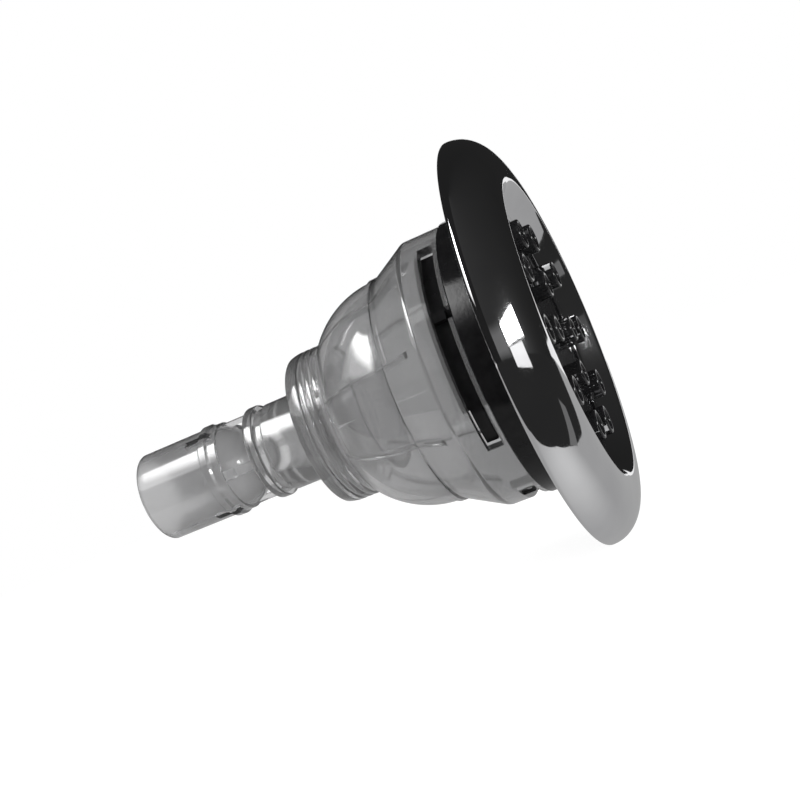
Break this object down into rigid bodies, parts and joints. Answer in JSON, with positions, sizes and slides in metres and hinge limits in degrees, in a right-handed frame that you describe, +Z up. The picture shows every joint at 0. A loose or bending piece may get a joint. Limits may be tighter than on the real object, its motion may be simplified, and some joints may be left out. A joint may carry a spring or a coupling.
{
  "type": "body jet insert",
  "caption": "Thread-in hydrotherapy body jet: bright dished ring and black nozzle face that turn on a smoky clear bell with an air-drawing inlet tube.",
  "frame": {"origin": "on the jet's axis, in the plane of the finished wall that the escutcheon's rolled edge seats on", "axes": "+Y along the axis into the wall, so water leaves towards -Y; +Z up; +X to the right seen from the front"},
  "size_m": [0.127, 0.1435, 0.127],
  "materials": {
    "bright_steel": "polished",
    "black_gloss": "gloss",
    "black_moulding": "semi-gloss",
    "smoky_clear": "clear, smoky, polished"
  },
  "bodies": {
    "body": {"bell_body": "smoky_clear", "diffuser_tube": "smoky_clear"},
    "face": {"escutcheon": "bright_steel", "nozzle_plate": "black_gloss", "face_carrier": "black_moulding"}
  },
  "joints": [
    {"name": "face_turn", "type": "hinge", "parent": "body", "child": "face", "pos_m": [0, 0, 0], "axis": [0, -1, 0], "range_deg": [-33, 52]}
  ]
}
